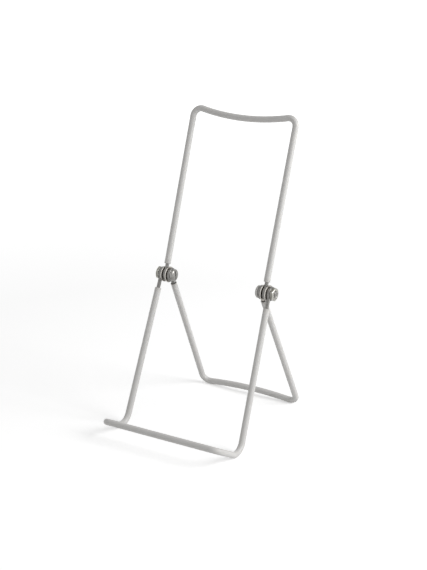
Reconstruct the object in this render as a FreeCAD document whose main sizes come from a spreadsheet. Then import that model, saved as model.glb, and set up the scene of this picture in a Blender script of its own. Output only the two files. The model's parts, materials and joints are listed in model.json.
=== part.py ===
"""Folding wire stand for a photo album.

Three bent steel wires, each in a vinyl sleeve, end in eyes that are stacked on two hinge screws.
The back wire leans back and carries the album's cover, the front wire runs down to the ledge that
the album stands on, and the rear leg wire props the stand up from behind.

Each wire is drawn in its own frame: the hinge axis is local X, the wire runs out along local +Z,
and its placement turns it about the hinge.  The finished stand faces -Y and rests on Z = 0.
"""
import FreeCAD, Part
import math
import os
import Sketcher

from FreeCAD import Placement, Rotation, Vector

DIMENSIONS = [
    # the three wires
    ("wire_diameter", "3.0", "bare steel wire"),
    ("sleeve_wall", "0.94", "wall of the vinyl sleeve"),
    ("sleeve_clearance", "0.06", "radial gap between sleeve and wire"),
    ("sleeve_start", "8.2", "distance from the hinge axis to the back and leg sleeves"),
    ("eye_clearance", "0.2", "radial gap between a hinge screw and the eyes and washers on it"),
    ("eye_gap", "0.6", "gap between the tip of an eye and its own shank"),
    ("neck_offset", "2.4", "how far the back and front shanks pass in front of the hinge axis"),
    ("leg_neck_offset", "0.6", "how far the leg shanks pass in front of the hinge axis"),
    ("neck_radius", "4.0", "bend from the shank into the eye"),
    ("splay_start", "7.3", "distance from the hinge axis to the slight outward bend of a shank"),
    ("splay_radius", "30.0", "radius of that slight bend"),
    # the back wire
    ("hinge_height", "112.4", "hinge axis above the table"),
    ("back_lean", "19.9", "degrees that the back leans from upright"),
    ("hub_width", "90.2", "between the back wire's two eyes, on the centre line"),
    ("back_width", "91.4", "between the two top corners' outer sides, on the centre line"),
    ("back_reach", "133.7", "hinge axis to the far side of the top corners, on the centre line"),
    ("top_bar_dip", "4.0", "how far the middle of the top bar bows back towards the hinge"),
    ("top_corner_radius", "6.5", "bend at the top corners"),
    # the front wire
    ("front_sleeve_start", "12.0", "distance from the hinge axis to the front sleeve"),
    ("front_angle", "23.25", "degrees between the front shanks and upright"),
    ("ledge_corner_width", "104.7", "between the two lower bends, on the centre line"),
    ("ledge_bar_width", "102.4", "between the two tips of the ledge, on the centre line"),
    ("ledge_depth", "33.8", "lower bend to ledge bar, on the centre line"),
    ("ledge_tilt", "28.7", "degrees that the ledge rises towards its bar"),
    ("ledge_bend_radius", "10.0", "bend from shank to ledge"),
    ("ledge_tip_radius", "6.0", "bend from ledge arm to ledge bar"),
    # the rear leg wire
    ("leg_angle", "26.8", "degrees between the rear leg and upright"),
    ("leg_width", "90.0", "between the two rear corners, on the centre line"),
    ("rear_bar_dip", "3.0", "how far the middle of the rear bar bows back towards the hinge"),
    ("rear_corner_radius", "6.5", "bend at the rear corners"),
    # the hinge hardware
    ("washer_diameter", "12.7", "outside of each plain washer"),
    ("washer_thickness", "0.8", "plain washer"),
    ("side_play", "0.1", "gap along the screw between neighbours in the stack"),
    ("screw_diameter", "4.8", "hinge screw"),
    ("head_diameter", "10.0", "round screw head"),
    ("head_height", "2.6", "round screw head"),
    ("head_round", "1.6", "rounding of the screw head's edge"),
    ("slot_width", "1.2", "screwdriver slot"),
    ("slot_depth", "1.1", "screwdriver slot"),
    ("nut_width", "9.5", "across the flats of the hinge nut"),
    ("nut_height", "2.4", "hinge nut"),
    ("nut_chamfer", "0.5", "corner chamfer of the hinge nut"),
    ("thread_clearance", "0.05", "radial gap between nut and screw"),
    ("screw_projection", "0.5", "screw standing out of the nut"),
    ("screw_chamfer", "0.4", "chamfer of the screw's end"),
]

# These follow from the sizes above.
SLEEVE_BORE = "Sizes.wire_diameter + 2 * Sizes.sleeve_clearance"
SLEEVE_OUTSIDE = SLEEVE_BORE + " + 2 * Sizes.sleeve_wall"
EYE_BORE = "Sizes.screw_diameter + 2 * Sizes.eye_clearance"
NUT_BORE = "Sizes.screw_diameter + 2 * Sizes.thread_clearance"
NUT_CORNERS = "2 * Sizes.nut_width / sqrt(3)"

ZERO = 1e-6  # mm or radians: anything below this counts as nothing
VOLUME_TOLERANCE = 1e-3  # share of a swept solid's volume
DRAWN_RADIUS = 5  # mm: how a circle is drawn before its diameter is bound

doc = FreeCAD.newDocument("album_stand")
sheet = doc.addObject("Spreadsheet::Sheet", "Sizes")
for row, (alias, value, note) in enumerate(DIMENSIONS, start=1):
    sheet.set(f"A{row}", alias)
    sheet.set(f"B{row}", value)
    sheet.setAlias(f"B{row}", alias)
    sheet.set(f"C{row}", note)
doc.recompute()


def size(alias):
    """One driving dimension from the sheet, as a number."""
    return float(getattr(sheet, alias))


# ---------------------------------------------------------------------------------- hinge stack
# Distances along the screw from the middle of the stand, on the right-hand side.
WIRE_RADIUS = size("wire_diameter") / 2
SLEEVE_BORE_RADIUS = WIRE_RADIUS + size("sleeve_clearance")
SLEEVE_RADIUS = SLEEVE_BORE_RADIUS + size("sleeve_wall")
EYE_RING = size("screw_diameter") / 2 + size("eye_clearance") + WIRE_RADIUS
EYE_PITCH = size("wire_diameter") + size("washer_thickness") + 2 * size("side_play")
BACK_EYE = size("hub_width") / 2
FRONT_EYE = BACK_EYE + EYE_PITCH
LEG_EYE = BACK_EYE - EYE_PITCH
WASHER_FACES = {
    "inner_washer": LEG_EYE + WIRE_RADIUS + size("side_play"),
    "outer_washer": BACK_EYE + WIRE_RADIUS + size("side_play"),
}
NUT_FACE = FRONT_EYE + WIRE_RADIUS + size("side_play")
HEAD_FACE = LEG_EYE - WIRE_RADIUS - size("side_play")


# ---------------------------------------------------------------------------------- wire paths
def rounded(points, radii):
    """Edges along the points, with a tangent arc of the given radius at each inner point."""
    edges = []
    start = points[0]
    for before, corner, after, radius in zip(points, points[1:], points[2:], radii):
        inward = (before - corner).normalize()
        outward = (after - corner).normalize()
        half_turn = (math.pi - inward.getAngle(outward)) / 2
        if half_turn < ZERO:
            continue
        setback = radius * math.tan(half_turn)
        bisector = (inward + outward).normalize()
        depth = radius / math.cos(half_turn) - radius
        arc_start = corner + inward * setback
        arc_end = corner + outward * setback
        edges.append(Part.LineSegment(start, arc_start).toShape())
        edges.append(Part.Arc(arc_start, corner + bisector * depth, arc_end).toShape())
        start = arc_end
    edges.append(Part.LineSegment(start, points[-1]).toShape())
    return edges


def eye_edges(eye_x, side, offset):
    """Eye and neck in the plane X = eye_x, from the eye's tip to the foot of the shank.

    The shank passes the hinge axis at the given offset: on its local +Y side where side is +1,
    on the other where side is -1.
    """
    neck = size("neck_radius")
    neck_height = math.sqrt((EYE_RING + neck) ** 2 - (offset + neck) ** 2)

    def polar(radius, angle, centre=Vector(eye_x, 0, 0)):
        return centre + Vector(0, side * radius * math.cos(angle), radius * math.sin(angle))

    meet = math.atan2(neck_height, offset + neck)
    tip = math.acos((offset - WIRE_RADIUS - size("eye_gap")) / EYE_RING) - 2 * math.pi
    neck_centre = Vector(eye_x, side * (offset + neck), neck_height)
    foot = Vector(eye_x, side * offset, neck_height)
    neck_middle = polar(neck, meet / 2 + math.pi, neck_centre)
    return [
        Part.Arc(polar(EYE_RING, tip), polar(EYE_RING, (tip + meet) / 2),
                 polar(EYE_RING, meet)).toShape(),
        Part.Arc(polar(EYE_RING, meet), neck_middle, foot).toShape(),
    ], foot


def bowed_half(bend, half_width, reach, dip, radius):
    """Half of a U from its splay bend: shank, corner and half of a bar bowed towards the hinge.

    half_width and reach are the far sides of the corner arc's centre line.
    """
    offset = bend.y
    centre = Vector(half_width - radius, offset, reach - radius)
    bow = ((half_width - radius) ** 2 + (radius - dip) ** 2 - radius ** 2) / (2 * dip)
    bow_centre = Vector(0, offset, reach - dip + bow)
    to_centre = centre - bend
    heading = math.atan2(to_centre.z, to_centre.x) - math.asin(radius / to_centre.Length)
    run = math.sqrt(to_centre.Length ** 2 - radius ** 2)
    shank_end = bend + Vector(math.cos(heading), 0, math.sin(heading)) * run
    bar_start = bow_centre + (centre - bow_centre).normalize() * bow
    outward = (shank_end - centre).normalize() + (bar_start - centre).normalize()
    corner_middle = centre + outward.normalize() * radius
    bar_middle = Vector(0, offset, reach - dip)
    bow_side = ((bar_start - bow_centre) + (bar_middle - bow_centre)).normalize() * bow
    covered = [
        Part.Arc(shank_end, corner_middle, bar_start).toShape(),
        Part.Arc(bar_start, bow_centre + bow_side, bar_middle).toShape(),
    ]
    return shank_end, covered


def point_along(start, end, height):
    """The point at the given local height on the line from start to end."""
    return start + (end - start) * ((height - start.z) / (end.z - start.z))


def whole_wire(half):
    """The half path joined to its mirror image."""
    mirrored = [edge.mirror(Vector(0, 0, 0), Vector(1, 0, 0)) for edge in half]
    return Part.Wire(Part.sortEdges(half + mirrored)[0])


def paths_of_u(eye, foot, half_width, reach, dip, radius):
    """Centre lines of a U-shaped wire and of its sleeve."""
    bend = Vector(foot.x, foot.y, size("splay_start"))
    shank_end, covered = bowed_half(bend, half_width, reach, dip, radius)
    sleeve_end = point_along(bend, shank_end, size("sleeve_start"))
    bare = eye + rounded([foot, bend, sleeve_end], [size("splay_radius")])
    covered = [Part.LineSegment(sleeve_end, shank_end).toShape()] + covered
    return whole_wire(bare + covered), whole_wire(covered)


def back_paths():
    """The shanks rise from the hinge to a top bar that is bowed down a little."""
    eye, foot = eye_edges(BACK_EYE, -1, size("neck_offset"))
    return paths_of_u(eye, foot, size("back_width") / 2, size("back_reach"),
                      size("top_bar_dip"), size("top_corner_radius"))


def leg_paths():
    """The rear corners' undersides rest on the table, which sets how far the leg reaches."""
    angle = math.radians(size("leg_angle"))
    offset = size("leg_neck_offset")
    drop = size("hinge_height") - SLEEVE_RADIUS - offset * math.sin(angle)
    eye, foot = eye_edges(LEG_EYE, 1, offset)
    return paths_of_u(eye, foot, size("leg_width") / 2, drop / math.cos(angle),
                      size("rear_bar_dip"), size("rear_corner_radius"))


def front_paths():
    """The lower bends' undersides rest on the table, which sets the length of the shanks."""
    angle = math.radians(size("front_angle"))
    radius = size("ledge_bend_radius")
    offset = size("neck_offset")
    interior = math.radians(90 + size("front_angle") - size("ledge_tilt"))
    drop = size("hinge_height") + (offset + radius) * math.sin(angle) - radius - SLEEVE_RADIUS
    length = drop / math.cos(angle) + radius / math.tan(interior / 2)
    eye, foot = eye_edges(FRONT_EYE, 1, offset)
    bend = Vector(FRONT_EYE, foot.y, size("splay_start"))
    corner = Vector(size("ledge_corner_width") / 2, offset, length)
    forward = Vector(0, math.sin(interior), -math.cos(interior)) * size("ledge_depth")
    tip = Vector(size("ledge_bar_width") / 2, corner.y + forward.y, corner.z + forward.z)
    bar_middle = Vector(0, tip.y, tip.z)
    sleeve_end = point_along(bend, corner, size("front_sleeve_start"))
    bare = eye + rounded([foot, bend, sleeve_end], [size("splay_radius")])
    covered = rounded([sleeve_end, corner, tip, bar_middle], [radius, size("ledge_tip_radius")])
    return whole_wire(bare + covered), whole_wire(covered)


# ---------------------------------------------------------------------------------- swept solids
def sweep(name, path, diameter):
    """A round section of the given diameter, an expression on the sheet, swept along the path."""
    start = path.Shape.OrderedEdges[0]
    at_start = start.FirstParameter
    if start.valueAt(at_start).distanceToPoint(path.Shape.OrderedVertexes[0].Point) > ZERO:
        at_start = start.LastParameter
    section = doc.addObject("Part::Circle", name + "_section")
    section.setExpression("Radius", f"({diameter}) / 2")
    section.Placement = Placement(start.valueAt(at_start),
                                  Rotation(Vector(0, 0, 1), start.tangentAt(at_start)))
    solid = doc.addObject("Part::Sweep", name)
    solid.Sections = [section]
    solid.Spine = (path, [])
    solid.Solid = True
    solid.Frenet = False
    return solid


def path_object(name, wire):
    path = doc.addObject("Part::Feature", name)
    path.Shape = wire
    return path


def sleeved_wire(word, paths, turn):
    """The wire and its sleeve, turned about the hinge axis by the given angle in degrees."""
    wire_path, sleeve_path = paths
    wire = sweep(word + "_wire", path_object(word + "_wire_path", wire_path),
                 "Sizes.wire_diameter")
    cover = path_object(word + "_sleeve_path", sleeve_path)
    sleeve = doc.addObject("Part::Cut", word + "_sleeve")
    sleeve.Base = sweep(word + "_sleeve_outside", cover, SLEEVE_OUTSIDE)
    sleeve.Tool = sweep(word + "_sleeve_bore", cover, SLEEVE_BORE)
    for piece in (wire, sleeve):
        piece.Placement = Placement(Vector(0, 0, size("hinge_height")),
                                    Rotation(Vector(1, 0, 0), turn))
    return [wire, sleeve]


# ---------------------------------------------------------------------------------- hardware
def on_screw(distance, side):
    """Placement on the hinge axis, with the piece's own +Z pointing away from the middle."""
    return Placement(Vector(side * distance, 0, size("hinge_height")),
                     Rotation(Vector(0, 0, 1), Vector(side, 0, 0)))


def sketch_on(body, name, role):
    """An empty sketch on one of the body's own origin planes."""
    sketch = body.newObject("Sketcher::SketchObject", name)
    plane = next(each for each in body.Origin.OriginFeatures if each.Role == role)
    sketch.AttachmentSupport = [(plane, "")]
    sketch.MapMode = "FlatFace"
    return sketch


def bind(sketch, constraint, expression):
    """Add a driving constraint whose value is an expression on the sheet."""
    sketch.setExpression(f"Constraints[{sketch.addConstraint(constraint)}]", expression)


def add_circle(sketch, diameter, construction=False):
    """A circle about the sketch's origin with its diameter bound to the sheet."""
    circle = Part.Circle(Vector(0, 0, 0), Vector(0, 0, 1), DRAWN_RADIUS)
    number = sketch.addGeometry(circle, construction)
    sketch.addConstraint(Sketcher.Constraint("Coincident", number, 3, -1, 1))
    bind(sketch, Sketcher.Constraint("Diameter", number, 2 * DRAWN_RADIUS), diameter)
    return number


def add_polygon(sketch, corners):
    """A closed chain of lines through the corners, without dimensions."""
    lines = [sketch.addGeometry(Part.LineSegment(start, end), False)
             for start, end in zip(corners, corners[1:] + corners[:1])]
    for line, following in zip(lines, lines[1:] + lines[:1]):
        sketch.addConstraint(Sketcher.Constraint("Coincident", line, 2, following, 1))
    return lines


def pad(body, name, sketch, length, reverse=False):
    """The sketch raised along the body's +Z, or along -Z."""
    feature = body.newObject("PartDesign::Pad", name)
    feature.Profile = sketch
    feature.setExpression("Length", length)
    feature.Reversed = reverse
    return feature


def cut_both_ways(body, name, sketch, length):
    """The sketch cut through the body, half of the length to each side of its plane."""
    feature = body.newObject("PartDesign::Pocket", name)
    feature.Profile = sketch
    feature.Midplane = True
    feature.setExpression("Length", length)
    return feature


def widest_edges(feature, heights):
    """Names of the outer circular edges of a feature at the given heights."""
    names = []
    for height in heights:
        level = [(edge.Length, f"Edge{number}")
                 for number, edge in enumerate(feature.Shape.Edges, start=1)
                 if all(abs(vertex.Z - height) < ZERO for vertex in edge.Vertexes)]
        names.append(max(level)[1])
    return names


def washer(name, distance, side):
    """Plain washer beside a wire eye."""
    body = doc.addObject("PartDesign::Body", name)
    ring = sketch_on(body, name + "_ring", "XY_Plane")
    add_circle(ring, "Sizes.washer_diameter")
    add_circle(ring, EYE_BORE)
    pad(body, name + "_plate", ring, "Sizes.washer_thickness")
    body.Placement = on_screw(distance, side)
    return body


def screw(name, side):
    """Round-headed slotted screw, with its head against the leg wire's eye."""
    body = doc.addObject("PartDesign::Body", name)
    head = sketch_on(body, name + "_head_outline", "XY_Plane")
    add_circle(head, "Sizes.head_diameter")
    pad(body, name + "_head", head, "Sizes.head_height", reverse=True)
    shank = sketch_on(body, name + "_shank_outline", "XY_Plane")
    add_circle(shank, "Sizes.screw_diameter")
    shank_pad = pad(body, name + "_shank", shank,
                    "3 * Sizes.wire_diameter + 2 * Sizes.washer_thickness + 6 * Sizes.side_play"
                    " + Sizes.nut_height + Sizes.screw_projection")
    doc.recompute()
    rim = body.newObject("PartDesign::Fillet", name + "_head_round")
    rim.Base = (shank_pad, widest_edges(shank_pad, [-size("head_height")]))
    rim.setExpression("Radius", "Sizes.head_round")
    doc.recompute()
    tip = body.newObject("PartDesign::Chamfer", name + "_tip")
    tip.Base = (rim, widest_edges(rim, [float(shank_pad.Length)]))
    tip.setExpression("Size", "Sizes.screw_chamfer")
    slot = sketch_on(body, name + "_slot_outline", "XZ_Plane")
    half = size("slot_width") / 2
    low = -size("head_height") - size("slot_depth")
    high = -size("head_height") + size("slot_depth")
    lines = add_polygon(slot, [Vector(-half, low, 0), Vector(half, low, 0),
                               Vector(half, high, 0), Vector(-half, high, 0)])
    for line, direction in zip(lines[1:], ("Vertical", "Horizontal", "Vertical")):
        slot.addConstraint(Sketcher.Constraint(direction, line))
    slot.addConstraint(Sketcher.Constraint("Symmetric", lines[0], 1, lines[0], 2, -2))
    bind(slot, Sketcher.Constraint("DistanceX", lines[0], 1, lines[0], 2, 2 * half),
         "Sizes.slot_width")
    bind(slot, Sketcher.Constraint("DistanceY", lines[0], 1, -1, 1, -low),
         "Sizes.head_height + Sizes.slot_depth")
    bind(slot, Sketcher.Constraint("DistanceY", lines[2], 1, -1, 1, -high),
         "Sizes.head_height - Sizes.slot_depth")
    cut_both_ways(body, name + "_slot", slot, "Sizes.head_diameter")
    body.Placement = on_screw(HEAD_FACE, side)
    return body


def nut(name, side):
    """Hexagon nut with chamfered corners."""
    body = doc.addObject("PartDesign::Body", name)
    blank = sketch_on(body, name + "_blank_outline", "XY_Plane")
    add_circle(blank, NUT_CORNERS)
    add_circle(blank, NUT_BORE)
    blank_pad = pad(body, name + "_blank", blank, "Sizes.nut_height")
    doc.recompute()
    corners = body.newObject("PartDesign::Chamfer", name + "_corners")
    corners.Base = (blank_pad, widest_edges(blank_pad, [0, size("nut_height")]))
    corners.setExpression("Size", "Sizes.nut_chamfer")
    flats = sketch_on(body, name + "_flats_outline", "XY_Plane")
    radius = size("nut_width") / math.sqrt(3)
    lines = add_polygon(flats, [Vector(radius * math.cos(math.radians(60 * corner)),
                                       radius * math.sin(math.radians(60 * corner)), 0)
                                for corner in range(6)])
    around = add_circle(flats, NUT_CORNERS, construction=True)
    for line in lines:
        flats.addConstraint(Sketcher.Constraint("PointOnObject", line, 1, around))
    for line in lines[1:]:
        flats.addConstraint(Sketcher.Constraint("Equal", lines[0], line))
    flats.addConstraint(Sketcher.Constraint("Horizontal", lines[1]))
    add_circle(flats, "2 * Sizes.nut_width")
    cut_both_ways(body, name + "_flats", flats, "3 * Sizes.nut_height")
    body.Placement = on_screw(NUT_FACE, side)
    return body


# ---------------------------------------------------------------------------------- the stand
def all_pieces():
    """Every sub-part of the stand, about a hinge axis over Y = 0."""
    pieces = sleeved_wire("back", back_paths(), -size("back_lean"))
    pieces += sleeved_wire("front", front_paths(), 180 - size("front_angle"))
    pieces += sleeved_wire("leg", leg_paths(), 180 + size("leg_angle"))
    for side, word in ((1, "right"), (-1, "left")):
        pieces.append(screw(f"hinge_screw_{word}", side))
        pieces.append(nut(f"hinge_nut_{word}", side))
        for name, distance in WASHER_FACES.items():
            pieces.append(washer(f"{name}_{word}", distance, side))
    return pieces


def centre_over_origin(pieces):
    """Slide the stand along Y until its outline is centred on the origin."""
    boxes = [piece.Shape.optimalBoundingBox(False) for piece in pieces]
    middle = (min(box.YMin for box in boxes) + max(box.YMax for box in boxes)) / 2
    for piece in pieces:
        piece.Placement = Placement(Vector(0, -middle, 0), Rotation()) * piece.Placement


def check_pieces(pieces):
    """Stop if anything failed to build, or if a swept solid has the wrong volume."""
    for each in doc.Objects:
        if "Invalid" in each.State or "Error" in each.State:
            raise RuntimeError(f"{each.Label} failed: {each.State}")
    for piece in pieces:
        if piece.Shape.isNull() or not piece.Shape.isValid() or len(piece.Shape.Solids) != 1:
            raise RuntimeError(f"{piece.Label} is not one valid solid")
    for word in ("back", "front", "leg"):
        sections = {
            f"{word}_wire": math.pi * WIRE_RADIUS ** 2,
            f"{word}_sleeve": math.pi * (SLEEVE_RADIUS ** 2 - SLEEVE_BORE_RADIUS ** 2),
        }
        for name, section in sections.items():
            volume = section * doc.getObject(name + "_path").Shape.Length
            if abs(doc.getObject(name).Shape.Volume / volume - 1) > VOLUME_TOLERANCE:
                raise RuntimeError(f"{name} has the wrong volume")


stand = all_pieces()
doc.recompute()
centre_over_origin(stand)
doc.recompute()
check_pieces(stand)
os.makedirs("parts", exist_ok=True)
for piece in stand:
    piece.Shape.exportStep(f"parts/{piece.Label}.step")
    print(f"{piece.Label}: {piece.Shape.Volume:.1f} mm3")
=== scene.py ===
"""The looks of a folding wire stand for a photo album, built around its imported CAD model.

Three bent steel wires in vinyl sleeves turn on two hinge screws.
"""

import json
import math

import bmesh
import bpy
from bpy.props import (FloatProperty, FloatVectorProperty, IntProperty, PointerProperty)
from mathutils import Matrix, Vector


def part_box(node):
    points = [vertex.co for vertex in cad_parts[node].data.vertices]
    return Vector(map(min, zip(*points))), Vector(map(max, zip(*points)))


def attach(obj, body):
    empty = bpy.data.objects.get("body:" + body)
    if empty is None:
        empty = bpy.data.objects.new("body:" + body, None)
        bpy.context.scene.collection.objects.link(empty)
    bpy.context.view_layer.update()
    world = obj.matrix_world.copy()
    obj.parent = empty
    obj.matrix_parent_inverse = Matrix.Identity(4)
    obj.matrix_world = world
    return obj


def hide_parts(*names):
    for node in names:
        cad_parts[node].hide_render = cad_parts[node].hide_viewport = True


bl_info = {
    "name": "Photo album stand",
    "version": (1, 0, 0),
    "blender": (4, 5, 0),
    "location": "View3D > Sidebar > Album Stand",
    "description": "Folding wire stand for a photo album, with sleeves and hinge hardware",
    "category": "Add Mesh",
}

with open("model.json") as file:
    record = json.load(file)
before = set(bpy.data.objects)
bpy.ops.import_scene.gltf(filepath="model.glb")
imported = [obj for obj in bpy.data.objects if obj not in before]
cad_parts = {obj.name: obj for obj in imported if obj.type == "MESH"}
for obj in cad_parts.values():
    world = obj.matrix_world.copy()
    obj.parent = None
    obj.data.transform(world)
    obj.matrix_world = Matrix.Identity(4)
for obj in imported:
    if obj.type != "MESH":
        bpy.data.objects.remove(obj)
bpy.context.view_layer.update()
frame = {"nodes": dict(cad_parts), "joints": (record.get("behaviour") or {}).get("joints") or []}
HINGE = Vector(frame["joints"][0]["pos_m"])

MM = 0.001
BEND_STEP = math.radians(4)  # turn between neighbouring points of a bend
RUN_STEP = 3 * MM  # spacing of the points on a straight run
END_FACE = 0.01 * MM  # depth of the cut face at a sleeve's end
THIRD = math.radians(60)  # corner to corner of a hexagon


# ------------------------------------------------------------------------------------ settings
def length(name, default, about):
    """A length in metres, given here in millimetres."""
    return FloatProperty(name=name, description=about, default=default * MM, min=0,
                         unit="LENGTH", precision=5)


def angle(name, default, about):
    """An angle in radians, given here in degrees."""
    return FloatProperty(name=name, description=about, default=math.radians(default),
                         subtype="ANGLE")


def factor(name, default, about):
    """A share from none to all."""
    return FloatProperty(name=name, description=about, default=default, min=0, max=1,
                         subtype="FACTOR")


def colour(name, default, about):
    """A linear colour."""
    return FloatVectorProperty(name=name, description=about, default=default, min=0, max=1,
                               size=3, subtype="COLOR")


def width_of(node, axis=2):
    """How far a CAD node reaches along an axis, in millimetres."""
    low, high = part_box(node)
    return (high[axis] - low[axis]) / MM


class WireSizes(bpy.types.PropertyGroup):
    """Sizes that the three sleeved wires share."""
    wire: length("Wire", 3.0, "Diameter of the bare steel wire")
    clearance: length("Clearance", 0.06, "Radial gap between a sleeve and its wire")
    wall: length("Sleeve wall", 0.94, "Thickness of the vinyl")
    lip: length("Sleeve lip", 0.32, "Rounding of the outer edge at a sleeve's end")
    bore_lip: length("Bore lip", 0.12, "Rounding of the inner edge at a sleeve's end")
    tip: length("Tip rounding", 0.3, "Rounding of the cut end of each wire")
    eye_bore: length("Eye bore", 5.2, "Inside diameter of each eye")
    eye_gap: length("Eye gap", 0.6, "Gap between the tip of an eye and its own shank")
    neck: length("Neck radius", 4.0, "Bend from the shank into the eye")
    splay_start: length("Splay start", 7.3, "Distance from the axis to the slight outward bend")
    splay_radius: length("Splay radius", 30.0, "Radius of the slight outward bend")
    sides: IntProperty(name="Sides", description="Faces around a wire or sleeve", default=40,
                       min=8)


class BackSizes(bpy.types.PropertyGroup):
    """Sizes of the wire that the album leans on."""
    lean: angle("Lean", 19.9, "How far the back leans from upright")
    offset: length("Offset", 2.4, "How far the shanks pass in front of the hinge axis")
    width: length("Width", 91.4, "Between the outer sides of the top corners, centre line")
    reach: length("Reach", 133.7, "Hinge axis to the far side of the top corners")
    dip: length("Dip", 4.0, "How far the middle of the top bar bows towards the hinge")
    corner: length("Corner radius", 6.5, "Bend at the top corners")
    sleeve_start: length("Sleeve start", 8.2, "Distance from the hinge axis to the sleeve")


class LegSizes(bpy.types.PropertyGroup):
    """Sizes of the rear leg wire."""
    lean: angle("Lean", 26.8, "Between the rear leg and upright")
    offset: length("Offset", 0.6, "How far the shanks pass in front of the hinge axis")
    width: length("Width", 90.0, "Between the outer sides of the rear corners, centre line")
    dip: length("Dip", 3.0, "How far the middle of the rear bar bows towards the hinge")
    corner: length("Corner radius", 6.5, "Bend at the rear corners")
    sleeve_start: length("Sleeve start", 8.2, "Distance from the hinge axis to the sleeve")


class FrontSizes(bpy.types.PropertyGroup):
    """Sizes of the front wire and its ledge."""
    lean: angle("Lean", 23.25, "Between the front shanks and upright")
    offset: length("Offset", 2.4, "How far the shanks pass in front of the hinge axis")
    corner_width: length("Corner width", 104.7, "Between the two lower bends, centre line")
    bar_width: length("Bar width", 102.4, "Between the two tips of the ledge, centre line")
    depth: length("Ledge depth", 33.8, "Lower bend to ledge bar, centre line")
    tilt: angle("Ledge tilt", 28.7, "How steeply the ledge rises towards its bar")
    bend: length("Lower bend", 10.0, "Bend from a shank to the ledge")
    tip_bend: length("Ledge corner", 6.0, "Bend from a ledge arm to the ledge bar")
    sleeve_start: length("Sleeve start", 12.0, "Distance from the hinge axis to the sleeve")


class HingeSizes(bpy.types.PropertyGroup):
    """Sizes of the screws, nuts and washers."""
    washer: length("Washer", width_of("outer_washer_right"), "Outside of each washer")
    washer_bore: length("Washer bore", 5.2, "Hole in each washer")
    washer_edge: length("Washer edge", 0.14, "Rounding of a washer's edges")
    flats: length("Nut flats", width_of("hinge_nut_right", 1), "Nut across its flats")
    nut_corner: length("Nut corner", 0.35, "Rounding of the nut's six corners")
    countersink: length("Countersink", 0.35, "Depth of the countersink in a nut's bore")
    thread_gap: length("Thread gap", 0.05, "Radial gap between nut and screw")
    screw: length("Screw", 4.8, "Diameter of the hinge screws")
    head: length("Head", width_of("hinge_screw_right"), "Diameter of the screw heads")
    head_height: length("Head height", 2.6, "Height of the screw heads")
    head_side: length("Head side", 0.9, "Upright part of the screw heads")
    slot: length("Slot", 1.2, "Width of the screwdriver slot")
    slot_depth: length("Slot depth", 1.1, "Depth of the screwdriver slot")
    pitch: length("Thread pitch", 1.06, "Distance from one thread to the next")
    thread: length("Thread depth", 0.55, "Depth of the thread")
    threaded: length("Threaded length", 6.5, "Length of the thread from the screw's end")
    chamfer: length("Screw chamfer", 0.4, "Chamfer at the screw's end")


class Finishes(bpy.types.PropertyGroup):
    """Colours and gloss of the stand."""
    vinyl: colour("Vinyl", (0.64, 0.63, 0.615), "Sleeves")
    # Also painted shade: besides handling marks, this colour darkens each sleeve at its mouths
    # and where it stands on the floor.
    vinyl_grime: colour("Vinyl grime", (0.40, 0.375, 0.34), "Handling marks on the sleeves")
    steel: colour("Steel", (0.24, 0.235, 0.225), "Bare wire")
    steel_dark: colour("Dark steel", (0.10, 0.096, 0.09), "Drawing streaks on the bare wire")
    steel_rub: colour("Rubbed steel", (0.42, 0.41, 0.395), "Where washers rub the eyes")
    zinc: colour("Zinc", (0.38, 0.355, 0.325), "Washers")
    zinc_stain: colour("Zinc stain", (0.28, 0.255, 0.22), "Stains on the washers")
    nut: colour("Nut", (0.25, 0.245, 0.215), "Plating of the nuts")
    screw: colour("Screw", (0.27, 0.265, 0.255), "Plating of the screws")
    # Also painted shade: the low places of the screws take this colour, besides the dark
    # patches.
    tarnish_and_shade: colour("Tarnish", (0.10, 0.095, 0.085), "Dark patches on nuts and screws")
    # Painted highlights: the marked edges of nuts and screws and the rims of the washers take
    # this colour, besides edges and faces worn bright.
    edge: colour("Worn edge", (0.78, 0.77, 0.74), "Edges where the plating shines")


class StageSettings(bpy.types.PropertyGroup):
    """Camera, floor and lamps."""
    azimuth: angle("Azimuth", 31.409, "Camera turn round the stand")
    elevation: angle("Elevation", 18.393, "Camera height above the horizon")
    distance: length("Distance", 992.223, "Camera to the point it looks at")
    lens: FloatProperty(name="Lens", description="Focal length", default=80.74,
                        subtype="DISTANCE_CAMERA", unit="CAMERA")
    across: FloatProperty(name="Across", description="Aim to the right of the hinge",
                          default=-1.71 * MM, unit="LENGTH")
    aim_up: FloatProperty(name="Up", description="Aim above the aim height",
                          default=-8.586 * MM, unit="LENGTH")
    aim_height: length("Aim height", 120, "Height that the camera aims from")
    key: FloatProperty(name="Key lamp", description="Power of the lamp on the right",
                       default=11.0, min=0, unit="POWER")
    fill: FloatProperty(name="Fill lamp", description="Power of the lamp on the left",
                        default=0.4, min=0, unit="POWER")
    ambient: factor("Ambient", 0.38, "Strength of the surroundings on the stand")
    floor: colour("Floor", (0.86, 0.86, 0.86), "Colour of the floor")
    glow: factor("Floor glow", 0.45, "What the camera sees added to the lit floor")


class AlbumStandSettings(bpy.types.PropertyGroup):
    """Everything that can be set on the stand and its stage."""
    wires: PointerProperty(type=WireSizes)
    back: PointerProperty(type=BackSizes)
    leg: PointerProperty(type=LegSizes)
    front: PointerProperty(type=FrontSizes)
    hinge: PointerProperty(type=HingeSizes)
    finishes: PointerProperty(type=Finishes)
    stage: PointerProperty(type=StageSettings)


# ---------------------------------------------------------------------------------- node trees
def add(tree, kind, inputs=(), **settings):
    """A node with its settings made and its sockets filled or linked, by name or position."""
    node = tree.nodes.new(kind)
    for name, value in settings.items():
        setattr(node, name, value)
    for key, value in dict(inputs).items():
        if isinstance(value, bpy.types.NodeSocket):
            tree.links.new(value, node.inputs[key])
        else:
            node.inputs[key].default_value = value
    return node


def maths(tree, operation, *values, clamp=False):
    """The result of a math node."""
    return add(tree, "ShaderNodeMath", dict(enumerate(values)), operation=operation,
               use_clamp=clamp).outputs[0]


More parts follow.
